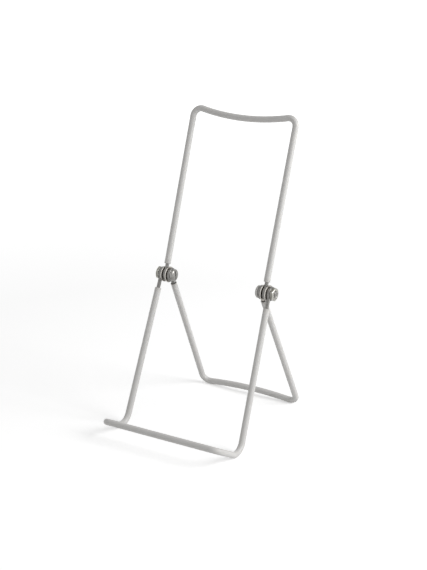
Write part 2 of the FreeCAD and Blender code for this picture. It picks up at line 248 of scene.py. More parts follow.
def declare(tree, **inputs):
    """Named inputs of a geometry tree, each a socket type, and its outputs by name."""
    for name, kind in inputs.items():
        tree.interface.new_socket(name=name.replace("_", " "), in_out="INPUT",
                                  socket_type="NodeSocket" + kind)
    tree.interface.new_socket(name="Geometry", in_out="OUTPUT",
                              socket_type="NodeSocketGeometry")
    return tree.nodes.new("NodeGroupInput").outputs


def finish_tree(tree, geometry, material):
    """End a tree in plain, smooth geometry with its material."""
    real = add(tree, "GeometryNodeRealizeInstances", {"Geometry": geometry})
    smooth = add(tree, "GeometryNodeSetShadeSmooth", {"Geometry": real.outputs[0]})
    coated = add(tree, "GeometryNodeSetMaterial",
                 {"Geometry": smooth.outputs[0], "Material": material})
    add(tree, "NodeGroupOutput", {0: coated.outputs[0]})
    return tree


def store(tree, geometry, kind, name, value):
    """Geometry with a named value kept on its points."""
    return add(tree, "GeometryNodeStoreNamedAttribute",
               {"Geometry": geometry, "Name": name, "Value": value},
               data_type=kind, domain="POINT").outputs[0]


def skin_tree():
    """A round skin along a path, whose radius eases from a shoulder to full at both ends."""
    tree = bpy.data.node_groups.new("Round skin", "GeometryNodeTree")
    given = declare(tree, Path="Geometry", Radius="Float", End_radius="Float",
                    Shoulder="Float", Easing="Float", Face="Float", Sides="Int",
                    Capped="Bool")
    so_far = add(tree, "GeometryNodeSplineParameter").outputs["Length"]
    total = add(tree, "GeometryNodeSplineLength").outputs["Length"]
    from_end = maths(tree, "MINIMUM", so_far, maths(tree, "SUBTRACT", total, so_far))
    eased = maths(tree, "DIVIDE", maths(tree, "SUBTRACT", from_end, given["Face"]),
                  given["Easing"], clamp=True)
    left = maths(tree, "SUBTRACT", 1.0, eased)
    drop = maths(tree, "SUBTRACT", 1.0,
                 maths(tree, "SQRT",
                       maths(tree, "SUBTRACT", 1.0, maths(tree, "MULTIPLY", left, left))))
    radius = maths(tree, "MULTIPLY_ADD",
                   maths(tree, "SUBTRACT", given["Shoulder"], given["Radius"]), drop,
                   given["Radius"])
    at_end = maths(tree, "LESS_THAN", from_end, maths(tree, "MULTIPLY", given["Face"], 0.5))
    radius = maths(tree, "MULTIPLY_ADD",
                   maths(tree, "SUBTRACT", given["End radius"], radius), at_end, radius)
    line = add(tree, "GeometryNodeMeshToCurve", {"Mesh": given["Path"]}).outputs[0]
    line = store(tree, line, "FLOAT", "along", so_far)
    line = store(tree, line, "FLOAT", "from_end", from_end)
    ring = add(tree, "GeometryNodeCurvePrimitiveCircle",
               {"Resolution": given["Sides"], "Radius": given["Radius"]}).outputs[0]
    ring = store(tree, ring, "FLOAT_VECTOR", "round",
                 add(tree, "GeometryNodeInputPosition").outputs[0])
    swept = add(tree, "GeometryNodeCurveToMesh",
                {"Curve": line, "Profile Curve": ring, "Fill Caps": given["Capped"],
                 "Scale": maths(tree, "DIVIDE", radius, given["Radius"])}).outputs[0]
    add(tree, "NodeGroupOutput", {0: swept})
    return tree


def wire_tree(skin):
    """A solid wire with eased tips, marked where washers rub the sides of its eyes."""
    tree = bpy.data.node_groups.new("Bent wire", "GeometryNodeTree")
    given = declare(tree, Path="Geometry", Diameter="Float", Tip="Float", Eye_plane="Float",
                    Eye_reach="Float", Hinge="Vector", Sides="Int", Material="Material")
    radius = maths(tree, "MULTIPLY", given["Diameter"], 0.5)
    shoulder = maths(tree, "SUBTRACT", radius, given["Tip"])
    rod = add(tree, "GeometryNodeGroup",
              {"Path": given["Path"], "Radius": radius, "End radius": shoulder,
               "Shoulder": shoulder, "Easing": given["Tip"], "Face": END_FACE,
               "Sides": given["Sides"], "Capped": True}, node_tree=skin).outputs[0]
    place = add(tree, "ShaderNodeVectorMath",
                {0: add(tree, "GeometryNodeInputPosition").outputs[0], 1: given["Hinge"]},
                operation="SUBTRACT").outputs[0]
    from_hinge = add(tree, "ShaderNodeSeparateXYZ", {0: place})
    sideways = maths(tree, "ABSOLUTE",
                     maths(tree, "SUBTRACT", maths(tree, "ABSOLUTE", from_hinge.outputs["X"]),
                           given["Eye plane"]))
    flank = maths(tree, "DIVIDE",
                  maths(tree, "SUBTRACT", sideways, maths(tree, "MULTIPLY", radius, 0.84)),
                  maths(tree, "MULTIPLY", radius, 0.14), clamp=True)
    outward = maths(tree, "SQRT",
                    maths(tree, "ADD",
                          maths(tree, "POWER", from_hinge.outputs["Y"], 2.0),
                          maths(tree, "POWER", from_hinge.outputs["Z"], 2.0)))
    near = maths(tree, "LESS_THAN", outward, given["Eye reach"])
    rubbed = store(tree, rod, "FLOAT", "rub", maths(tree, "MULTIPLY", flank, near))
    return finish_tree(tree, rubbed, given["Material"])


def sleeve_tree(skin):
    """A vinyl tube along a path, with rounded lips at both ends and an open bore."""
    tree = bpy.data.node_groups.new("Vinyl sleeve", "GeometryNodeTree")
    given = declare(tree, Path="Geometry", Bore="Float", Wall="Float", Lip="Float",
                    Bore_lip="Float", Sides="Int", Material="Material")
    inside = maths(tree, "MULTIPLY", given["Bore"], 0.5)
    outside = maths(tree, "ADD", inside, given["Wall"])
    mouth = maths(tree, "ADD", inside, given["Bore lip"])
    shared = {"Path": given["Path"], "End radius": mouth, "Face": END_FACE,
              "Sides": given["Sides"], "Capped": False}
    skins = [
        add(tree, "GeometryNodeGroup",
            {**shared, "Radius": outside, "Easing": given["Lip"],
             "Shoulder": maths(tree, "SUBTRACT", outside, given["Lip"])},
            node_tree=skin).outputs[0],
        add(tree, "GeometryNodeFlipFaces",
            {0: add(tree, "GeometryNodeGroup",
                    {**shared, "Radius": inside, "Easing": given["Bore lip"],
                     "Shoulder": mouth}, node_tree=skin).outputs[0]}).outputs[0],
    ]
    joined = tree.nodes.new("GeometryNodeJoinGeometry")
    for each in skins:
        tree.links.new(each, joined.inputs[0])
    welded = add(tree, "GeometryNodeMergeByDistance",
                 {"Geometry": joined.outputs[0], "Distance": END_FACE / 10}).outputs[0]
    return finish_tree(tree, welded, given["Material"])


def washer_tree():
    """A flat ring with rounded edges, square to the hinge axis."""
    tree = bpy.data.node_groups.new("Plain washer", "GeometryNodeTree")
    given = declare(tree, Start="Geometry", Diameter="Float", Bore="Float",
                    Thickness="Float", Edge="Float", Middle="Vector", Sides="Int",
                    Material="Material")
    ring = add(tree, "GeometryNodeCurvePrimitiveCircle",
               {"Resolution": given["Sides"],
                "Radius": maths(tree, "MULTIPLY",
                                maths(tree, "ADD", given["Diameter"], given["Bore"]), 0.25)})
    level = add(tree, "GeometryNodeSetCurveNormal", {"Curve": ring.outputs[0]}, mode="Z_UP")
    band = maths(tree, "MULTIPLY",
                 maths(tree, "SUBTRACT", given["Diameter"], given["Bore"]), 0.5)
    flat = add(tree, "GeometryNodeCurvePrimitiveQuadrilateral",
               {"Width": band, "Height": given["Thickness"]}, mode="RECTANGLE")
    edged = add(tree, "GeometryNodeFilletCurve",
                {"Curve": flat.outputs[0], "Count": 4, "Radius": given["Edge"]},
                mode="POLY")
    swept = add(tree, "GeometryNodeCurveToMesh",
                {"Curve": level.outputs[0], "Profile Curve": edged.outputs[0]})
    placed = add(tree, "GeometryNodeTransform",
                 {"Geometry": swept.outputs[0], "Translation": given["Middle"],
                  "Rotation": (0, math.radians(90), 0)})
    return finish_tree(tree, placed.outputs[0], given["Material"])


def grow(name, tree, points, **inputs):
    """The piece that a geometry tree makes along the points, as a plain mesh."""
    mesh = bpy.data.meshes.new(name)
    mesh.from_pydata(points, list(zip(range(len(points) - 1), range(1, len(points)))), [])
    piece = bpy.data.objects.new(name, mesh)
    bpy.context.scene.collection.objects.link(piece)
    modifier = piece.modifiers.new("Grow", "NODES")
    modifier.node_group = tree
    for item in tree.interface.items_tree:
        if item.in_out == "INPUT" and item.name.replace(" ", "_") in inputs:
            modifier[item.identifier] = inputs[item.name.replace(" ", "_")]
    depsgraph = bpy.context.evaluated_depsgraph_get()
    grown = bpy.data.meshes.new_from_object(
        piece.evaluated_get(depsgraph), preserve_all_data_layers=True, depsgraph=depsgraph)
    piece.modifiers.clear()
    piece.data = grown
    grown.name = name
    bpy.data.meshes.remove(mesh)
    if not grown.polygons:
        raise RuntimeError(f"{name}: the tree made nothing")
    return piece


def add_piece(name, mesh):
    """A piece of the given mesh, in the scene."""
    piece = bpy.data.objects.new(name, mesh)
    bpy.context.scene.collection.objects.link(piece)
    return piece


def fit(piece, body, node):
    """Let the piece ride a body and stand for a CAD node, which it hides."""
    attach(piece, body)
    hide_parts(node)


# ---------------------------------------------------------------------------------- wire paths
def stations(total, easing, face=0.0):
    """Distances along a straight or curved run: close together at its start, then even."""
    eased = [face + easing * (1 - math.cos(math.radians(15 * step))) for step in range(7)]
    count = max(1, math.ceil((total - eased[-1]) / RUN_STEP))
    gap = (total - eased[-1]) / count
    return ([0.0] if face else []) + eased + [eased[-1] + gap * step
                                              for step in range(1, count + 1)]


def run(start, end):
    """Points on a straight run, without its start."""
    count = max(1, math.ceil((end - start).length / RUN_STEP))
    return [start.lerp(end, step / count) for step in range(1, count + 1)]


def arc(centre, start, end):
    """Points on the short arc about the centre, without its start."""
    spoke = start - centre
    turn = spoke.angle(end - centre)
    count = max(2, math.ceil(turn / BEND_STEP), math.ceil(turn * spoke.length / RUN_STEP))
    pole = spoke.cross(end - centre)
    return [centre + Matrix.Rotation(turn * step / count, 3, pole) @ spoke
            for step in range(1, count + 1)]


def rounded(corners, radii):
    """Points along the corners with an arc at each inner one, without the first."""
    points, start = [], corners[0]
    for before, corner, after, radius in zip(corners, corners[1:], corners[2:], radii):
        inward, outward = (before - corner).normalized(), (after - corner).normalized()
        half_turn = (math.pi - inward.angle(outward)) / 2
        setback = radius * math.tan(half_turn)
        centre = corner + (inward + outward).normalized() * radius / math.cos(half_turn)
        points += run(start, corner + inward * setback)
        points += arc(centre, points[-1], corner + outward * setback)
        start = points[-1]
    return points + run(start, corners[-1])


def eye_points(eye_x, side, offset, sizes):
    """Eye and neck from the eye's tip to the foot of the shank, and the foot."""
    ring, neck = (sizes.eye_bore + sizes.wire) / 2, sizes.neck
    height = math.sqrt((ring + neck) ** 2 - (offset + neck) ** 2)
    meet = math.atan2(height, offset + neck)
    tip = math.acos((offset - sizes.wire / 2 - sizes.eye_gap) / ring) - 2 * math.pi

    def polar(radius, turn):
        return Vector((eye_x, side * radius * math.cos(turn), radius * math.sin(turn)))

    turns = [tip + step / ring for step in stations(sizes.tip * 2, sizes.tip)]
    count = math.ceil((meet - turns[-1]) / BEND_STEP)
    turns += [turns[-1] + (meet - turns[-1]) * step / count for step in range(1, count + 1)]
    foot = Vector((eye_x, side * offset, height))
    centre = Vector((eye_x, side * (offset + neck), height))
    points = [polar(ring, turn) for turn in turns]
    return points + arc(centre, points[-1], foot), foot


def u_cover(bend, half_width, reach, dip, radius):
    """Where a U's shank ends, and the points from there to the middle of its bowed bar."""
    centre = Vector((half_width - radius, bend.y, reach - radius))
    bow = ((half_width - radius) ** 2 + (radius - dip) ** 2 - radius ** 2) / (2 * dip)
    bow_centre = Vector((0, bend.y, reach - dip + bow))
    to_centre = centre - bend
    heading = (math.atan2(to_centre.z, to_centre.x) - math.asin(radius / to_centre.length))
    shank_end = bend + Vector((math.cos(heading), 0, math.sin(heading))) * math.sqrt(
        to_centre.length ** 2 - radius ** 2)
    bar_start = bow_centre + (centre - bow_centre).normalized() * bow
    corner = arc(centre, shank_end, bar_start)
    return shank_end, corner + arc(bow_centre, bar_start, Vector((0, bend.y, reach - dip)))


def front_cover(bend, front, radius):
    """Where a front shank ends, and the points from there to the middle of the ledge bar."""
    interior = math.radians(90) + front.lean - front.tilt
    drop = HINGE.z + (front.offset + front.bend) * math.sin(front.lean) - front.bend - radius
    reach = drop / math.cos(front.lean) + front.bend / math.tan(interior / 2)
    corner = Vector((front.corner_width / 2, bend.y, reach))
    forward = Vector((0, math.sin(interior), -math.cos(interior))) * front.depth
    tip = Vector((front.bar_width / 2, corner.y + forward.y, corner.z + forward.z))
    points = rounded([bend, corner, tip, Vector((0, tip.y, tip.z))],
                     [front.bend, front.tip_bend])
    first = corner + (bend - corner).normalized() * (
        front.bend * math.tan((math.pi - interior_angle(bend, corner, tip)) / 2))
    kept = [point for point in points if point.z > first.z or point.y != bend.y]
    return first, [point for point in kept if (point - first).length > END_FACE]


def interior_angle(before, corner, after):
    """Angle at a corner between its two neighbours."""
    return (before - corner).angle(after - corner)


def mirrored(half):
    """The half path and its mirror image, end to end."""
    return half + [Vector((-point.x, point.y, point.z)) for point in reversed(half[:-1])]


def placed(points, turn):
    """Points drawn along the wire's own axes, turned about the hinge."""
    spin = Matrix.Rotation(turn, 3, "X")
    return [HINGE + spin @ point for point in points]


def wire_and_sleeve_paths(eye_x, side, offset, sleeve_start, cover, turn, sizes):
    """Centre lines of a wire and of its sleeve; cover gives the far part from its bend."""
    eye, foot = eye_points(eye_x, side, offset, sizes)
    bend = Vector((foot.x, foot.y, sizes.splay_start))
    shank_end, beyond = cover(bend)
    mouth = bend.lerp(shank_end, (sleeve_start - bend.z) / (shank_end.z - bend.z))
    along = (shank_end - mouth).normalized()
    shank = [mouth + along * step
             for step in stations((shank_end - mouth).length, sizes.lip, END_FACE)]
    bare = eye + rounded([foot, bend, mouth], [sizes.splay_radius])
    wire = mirrored(bare + run(mouth, shank_end) + beyond)
    return placed(wire, turn), placed(mirrored(shank + beyond), turn)


# ---------------------------------------------------------------------------------- finishes
def new_material(name):
    """A node material and its principled shader."""
    material = bpy.data.materials.new(name)
    material.use_nodes = True
    return material, material.node_tree, material.node_tree.nodes["Principled BSDF"]


def noise(tree, vector, scale, detail=3.0, roughness=0.55):
    """Noise between about 0.3 and 0.7."""
    return add(tree, "ShaderNodeTexNoise",
               {"Vector": vector, "Scale": scale, "Detail": detail,
                "Roughness": roughness}).outputs["Fac"]


def remap(tree, value, low, high, to_low=0.0, to_high=1.0):
    """The value moved from one range to another, and held inside it."""
    return add(tree, "ShaderNodeMapRange", {0: value, 1: low, 2: high, 3: to_low, 4: to_high},
               clamp=True).outputs[0]


def blend_colours(tree, share, first, second):
    """The first colour, with a share of the second."""
    mix = tree.nodes.new("ShaderNodeMix")
    mix.data_type = "RGBA"
    for index, value in ((0, share), (6, first), (7, second)):
        if isinstance(value, bpy.types.NodeSocket):
            tree.links.new(value, mix.inputs[index])
        else:
            mix.inputs[index].default_value = (*value, 1) if index else value
    return mix.outputs[2]


def bumped(tree, height, distance, normal=None, strength=1.0):
    """A normal for the relief, whose full height is the distance."""
    inputs = {"Height": height, "Distance": distance, "Strength": strength}
    if normal:
        inputs["Normal"] = normal
    return add(tree, "ShaderNodeBump", inputs).outputs[0]


def along_skin(tree, stretch):
    """Coordinates wrapped round a swept skin, stretched along its length."""
    ring = add(tree, "ShaderNodeAttribute", attribute_name="round").outputs["Vector"]
    split = add(tree, "ShaderNodeSeparateXYZ", {0: ring})
    along = add(tree, "ShaderNodeAttribute", attribute_name="along").outputs["Fac"]
    return add(tree, "ShaderNodeCombineXYZ",
               {0: split.outputs[0], 1: split.outputs[1],
                2: maths(tree, "MULTIPLY", along, 1 / stretch)}).outputs[0]


def object_place(tree, middle=(0, 0, 0)):
    """Object coordinates measured from the given place."""
    place = add(tree, "ShaderNodeTexCoord").outputs["Object"]
    return add(tree, "ShaderNodeMapping",
               {0: place, "Location": [-part for part in middle]}).outputs[0]


def vinyl_material(look):
    """Satin vinyl: faint mottling, fine die lines, grime, painted shade at the mouths, and
    painted shade with wear where it stands on the floor.
    """
    material, tree, shader = new_material("vinyl_satin")
    skin = along_skin(tree, 1.0)
    mottle = remap(tree, noise(tree, skin, 90, 4), 0.35, 0.7)
    smudge = remap(tree, noise(tree, skin, 260, 5, 0.65), 0.56, 0.74)
    speck = remap(tree, noise(tree, skin, 2600, 1), 0.74, 0.80)
    # Painted shade: darker within 4 mm of each mouth, where the sleeve meets the bare wire at
    # the hinge.
    mouth = remap(tree, add(tree, "ShaderNodeAttribute", attribute_name="from_end")
                  .outputs["Fac"], 0.0, 4 * MM, 1.0, 0.0)
    # Painted contact shade with wear: darker and rougher within about a millimetre of the floor,
    # in patches.
    height = add(tree, "ShaderNodeSeparateXYZ", {0: object_place(tree)}).outputs["Z"]
    standing = remap(tree, height, 0.1 * MM, 1.1 * MM, 1.0, 0.0)
    wear_and_painted_light = maths(tree, "MULTIPLY", standing, remap(tree, noise(tree, skin, 900), 0.35, 0.6))
    # Mix towards the grime colour: painted shade at the mouths and on the floor, with real
    # smudges and specks.
    grime_and_shade = maths(tree, "ADD", maths(tree, "MULTIPLY", mouth, 0.28),
                  maths(tree, "MULTIPLY", smudge, 0.07))
    grime_and_shade = maths(tree, "ADD", grime_and_shade, maths(tree, "MULTIPLY", speck, 0.35))
    grime_and_shade = maths(tree, "ADD", grime_and_shade, maths(tree, "MULTIPLY", wear_and_painted_light, 0.4), clamp=True)
    paler = [min(1.0, part * 1.04) for part in look.vinyl]
    clean = blend_colours(tree, mottle, look.vinyl, paler)
    tree.links.new(blend_colours(tree, grime_and_shade, clean, look.vinyl_grime),
                   shader.inputs["Base Color"])
    gloss = remap(tree, noise(tree, skin, 420, 4), 0.35, 0.7, 0.33, 0.46)
    tree.links.new(maths(tree, "ADD", gloss, maths(tree, "MULTIPLY", wear_and_painted_light, 0.2)),
                   shader.inputs["Roughness"])
    lines = noise(tree, along_skin(tree, 60.0), 1500, 2)
    relief = bumped(tree, lines, 0.012 * MM)
    relief = bumped(tree, noise(tree, skin, 1900, 2), 0.010 * MM, relief)
    tree.links.new(bumped(tree, noise(tree, skin, 160, 2), 0.05 * MM, relief),
                   shader.inputs["Normal"])
    shader.inputs["IOR"].default_value = 1.52
    shader.inputs["Subsurface Weight"].default_value = 0.08
    shader.inputs["Subsurface Radius"].default_value = (1.0, 0.9, 0.75)
    shader.inputs["Subsurface Scale"].default_value = 0.4 * MM
    return material


def steel_material(look):
    """Drawn steel: dark streaks along the wire, bright where washers rub the eyes."""
    material, tree, shader = new_material("drawn_steel")
    streak = remap(tree, noise(tree, along_skin(tree, 40.0), 3200, 3, 0.6), 0.36, 0.62)
    patch = remap(tree, noise(tree, along_skin(tree, 1.0), 480, 4, 0.6), 0.42, 0.66)
    dark = maths(tree, "ADD", maths(tree, "MULTIPLY", streak, 0.42),
                 maths(tree, "MULTIPLY", patch, 0.38), clamp=True)
    rub = add(tree, "ShaderNodeAttribute", attribute_name="rub").outputs["Fac"]
    scuff = remap(tree, noise(tree, along_skin(tree, 1.0), 1700, 2), 0.36, 0.52)
    rub = maths(tree, "MULTIPLY", rub, scuff)
    tip = remap(tree, add(tree, "ShaderNodeAttribute", attribute_name="from_end")
                .outputs["Fac"], 0.02 * MM, 0.12 * MM, 1.0, 0.0)
    bright = maths(tree, "MAXIMUM", rub, maths(tree, "MULTIPLY", tip, 0.8))
    drawn = blend_colours(tree, dark, look.steel, look.steel_dark)
    tree.links.new(blend_colours(tree, bright, drawn, look.steel_rub),
                   shader.inputs["Base Color"])
    gloss = remap(tree, dark, 0.0, 0.8, 0.27, 0.48)
    tree.links.new(maths(tree, "SUBTRACT", gloss, maths(tree, "MULTIPLY", bright, 0.06)),
                   shader.inputs["Roughness"])
    relief = bumped(tree, streak, 0.010 * MM)
    tree.links.new(bumped(tree, patch, 0.012 * MM, relief), shader.inputs["Normal"])
    shader.inputs["Metallic"].default_value = 1.0
    return material


def washer_material(look):
    """Dull zinc with rings rubbed into its faces, stains and a painted highlight along its rim.
    """
    material, tree, shader = new_material("dull_zinc")
    place = object_place(tree, HINGE)
    split = add(tree, "ShaderNodeSeparateXYZ", {0: place})
    outward = maths(tree, "SQRT", maths(tree, "ADD",
                                        maths(tree, "POWER", split.outputs[1], 2.0),
                                        maths(tree, "POWER", split.outputs[2], 2.0)))
    rings = add(tree, "ShaderNodeCombineXYZ",
                {0: maths(tree, "MULTIPLY", split.outputs[0], 0.2), 1: outward})
    ringed = remap(tree, noise(tree, rings.outputs[0], 4200, 3), 0.35, 0.65)
    stain = remap(tree, noise(tree, place, 330, 5, 0.6), 0.46, 0.66)
    grain = noise(tree, place, 2300, 3)
    contact = remap(tree, outward, 5.4 * MM, 5.7 * MM, 1.0, 0.0)
    polished = maths(tree, "MULTIPLY", contact, remap(tree, ringed, 0.2, 0.8, 0.25, 0.8))
    # Painted highlight along the outer rim.
    rim = remap(tree, outward, 6.22 * MM, 6.34 * MM, 0.0, 0.45)
    dull = blend_colours(tree, maths(tree, "MULTIPLY", stain, 0.55), look.zinc,
                         look.zinc_stain)
    shiny = maths(tree, "MAXIMUM", maths(tree, "MULTIPLY", polished, 0.4), rim)
    tree.links.new(blend_colours(tree, shiny, dull, look.edge), shader.inputs["Base Color"])
    gloss = remap(tree, stain, 0.0, 1.0, 0.36, 0.55)
    tree.links.new(maths(tree, "SUBTRACT", gloss, maths(tree, "MULTIPLY", shiny, 0.12)),
                   shader.inputs["Roughness"])
    relief = bumped(tree, ringed, 0.010 * MM)
    tree.links.new(bumped(tree, grain, 0.014 * MM, relief), shader.inputs["Normal"])
    shader.inputs["Metallic"].default_value = 1.0
    return material


def plated_material(name, plating, look):
    """Semi-bright plating, dark in patches, with painted shade in the low places and dirt in the
    slot, and painted highlights with wear at the edges.
    """
    material, tree, shader = new_material(name)
    place = object_place(tree, HINGE)
    patch = remap(tree, noise(tree, place, 420, 5, 0.6), 0.48, 0.68)
    grain = noise(tree, place, 2600, 3)
    # Painted highlights with wear: the marked edges turn bright in patches.
    wear_and_painted_light = add(tree, "ShaderNodeAttribute", attribute_name="edge").outputs["Fac"]
    wear_and_painted_light = maths(tree, "MULTIPLY", wear_and_painted_light, remap(tree, noise(tree, place, 1500, 2), 0.32, 0.5))
    # Painted shade in the low places: the slot, the row under the head and the thread's grooves;
    # the slot also has dirt.
    low = add(tree, "ShaderNodeAttribute", attribute_name="low").outputs["Fac"]
    dark = maths(tree, "MAXIMUM", maths(tree, "MULTIPLY", patch, 0.5),
                 maths(tree, "MULTIPLY", low, 0.85))
    plated = blend_colours(tree, dark, plating, look.tarnish_and_shade)
    tree.links.new(blend_colours(tree, maths(tree, "MULTIPLY", wear_and_painted_light, 0.7), plated, look.edge),
                   shader.inputs["Base Color"])
    gloss = remap(tree, grain, 0.35, 0.65, 0.22, 0.34)
    tree.links.new(maths(tree, "ADD", gloss, maths(tree, "MULTIPLY", dark, 0.2)),
                   shader.inputs["Roughness"])
    tree.links.new(bumped(tree, grain, 0.012 * MM), shader.inputs["Normal"])
    shader.inputs["Metallic"].default_value = 1.0
    return material


def finish_named(name, maker, *settings):
    """The material of that name, made the first time it is asked for."""
    return bpy.data.materials.get(name) or maker(*settings)


# ---------------------------------------------------------------------------------- hardware
def closed_mesh(name, points, faces, marks):
    """A smooth mesh whose faces point outwards, with marks kept as values on its points."""
    mesh = bpy.data.meshes.new(name)
    mesh.from_pydata(points, [], faces)
    for mark, values in marks.items():
        mesh.attributes.new(mark, "FLOAT", "POINT").data.foreach_set("value", values)
    shape = bmesh.new()
    shape.from_mesh(mesh)
    bmesh.ops.remove_doubles(shape, verts=shape.verts, dist=0.001 * MM)
    bmesh.ops.recalc_face_normals(shape, faces=shape.faces)
    if any(not edge.is_manifold for edge in shape.edges):
        raise RuntimeError(f"{name} is not closed")
    shape.to_mesh(mesh)
    shape.free()
    mesh.shade_smooth()
    mesh.set_sharp_from_angle(angle=math.radians(38))
    return mesh


def on_axis(side, face, turn):
    """Places a point (across, across, outward) on the hinge axis, outward from a face."""
    spin = Matrix.Rotation(turn, 2)

    def at(across, up, outward):
        flat = spin @ Vector((across, up))
        return HINGE + Vector((side * (face + outward), flat.x, flat.y))
    return at


def hexagon(flats, corner):
    """Outline of a hexagon with rounded corners, one corner pointing up."""
    outline = []
    reach = flats / math.sqrt(3) - corner / math.cos(THIRD / 2)
    for side in range(6):
        middle = math.radians(90) + side * THIRD
        centre = Vector((math.cos(middle), math.sin(middle))) * reach
        for step in range(-3, 4):
            turn = middle + step * THIRD / 6
            outline.append(centre + Vector((math.cos(turn), math.sin(turn))) * corner)
        beyond = middle + THIRD
        following = Vector((math.cos(beyond), math.sin(beyond))) * reach + Vector(
            (math.cos(beyond - THIRD / 2), math.sin(beyond - THIRD / 2))) * corner
        last = outline[-1]
        outline += [last.lerp(following, step / 14) for step in range(1, 14)]
    return outline


def nut_mesh(name, hinge, side, face, height):
    """Hexagon nut with turned chamfers, blunted corners and a countersunk bore."""
    at = on_axis(side, face, 0)
    outline = hexagon(hinge.flats, hinge.nut_corner)
    slope = math.tan(math.radians(30))
    face_radius, bore = hinge.flats * 0.475, hinge.screw / 2 + hinge.thread_gap
    blunt = 0.08 * MM
    rows = []
    for flipped in (False, True):
        end = []
        # The edge mark, for painted highlights, on the rims of the countersink and the face, the
        # chamfer and the six corners.
        for radius, depth, edge in ((bore, hinge.countersink, 0.0),
                                    (bore + hinge.countersink, 0.0, 0.9),
                                    (bore + hinge.countersink + blunt, 0.0, 0.2),
                                    (face_radius, 0.0, 0.5)):
            end.append([(point.normalized() * radius, depth, edge) for point in outline])
        end.append([(point.normalized() * (point.length - blunt),
                     (point.length - blunt - face_radius) * slope, 0.6) for point in outline])
        end.append([(point, (point.length - face_radius) * slope + blunt, 1.0)
                    for point in outline])
        end.append([(point, (point.length - face_radius) * slope + 4 * blunt,
                     0.55 if point.length > hinge.flats * 0.56 else 0.0)
                    for point in outline])
        if flipped:
            rows += [[(place, height - depth, edge) for place, depth, edge in row]
                     for row in reversed(end)]
        else:
            rows += end
    count = len(outline)
    points = [at(place.x, place.y, depth) for row in rows for place, depth, _ in row]
    edges = [edge for row in rows for _, _, edge in row]
    faces = []
    for row in range(len(rows)):
        following = (row + 1) % len(rows)
        for step in range(count):
            after = (step + 1) % count
            faces.append((row * count + step, row * count + after,
                          following * count + after, following * count + step))
    return closed_mesh(name, points, faces, {"edge": edges, "low": [0.0] * len(points)})


class Shell:
    """Points and faces of a shape as it is built up, with two marks on each point: edge for
    painted highlights, low for painted shade.
    """

    def __init__(self, at):
        self.at = at
        self.points, self.edge, self.low, self.faces = [], [], [], []

    def point(self, across, up, outward, edge=0.0, low=0.0):
        self.points.append(self.at(across, up, outward))
        self.edge.append(edge)
        self.low.append(low)
        return len(self.points) - 1

    def strip(self, first, second, closed=False):
        """Faces between two rows of points of the same count."""
        pairs = list(zip(first, second))
        for (a, b), (c, d) in zip(pairs, pairs[1:] + (pairs[:1] if closed else [])):
            corners = list(dict.fromkeys((a, c, d, b)))
            if len(corners) > 2:
                self.faces.append(corners)


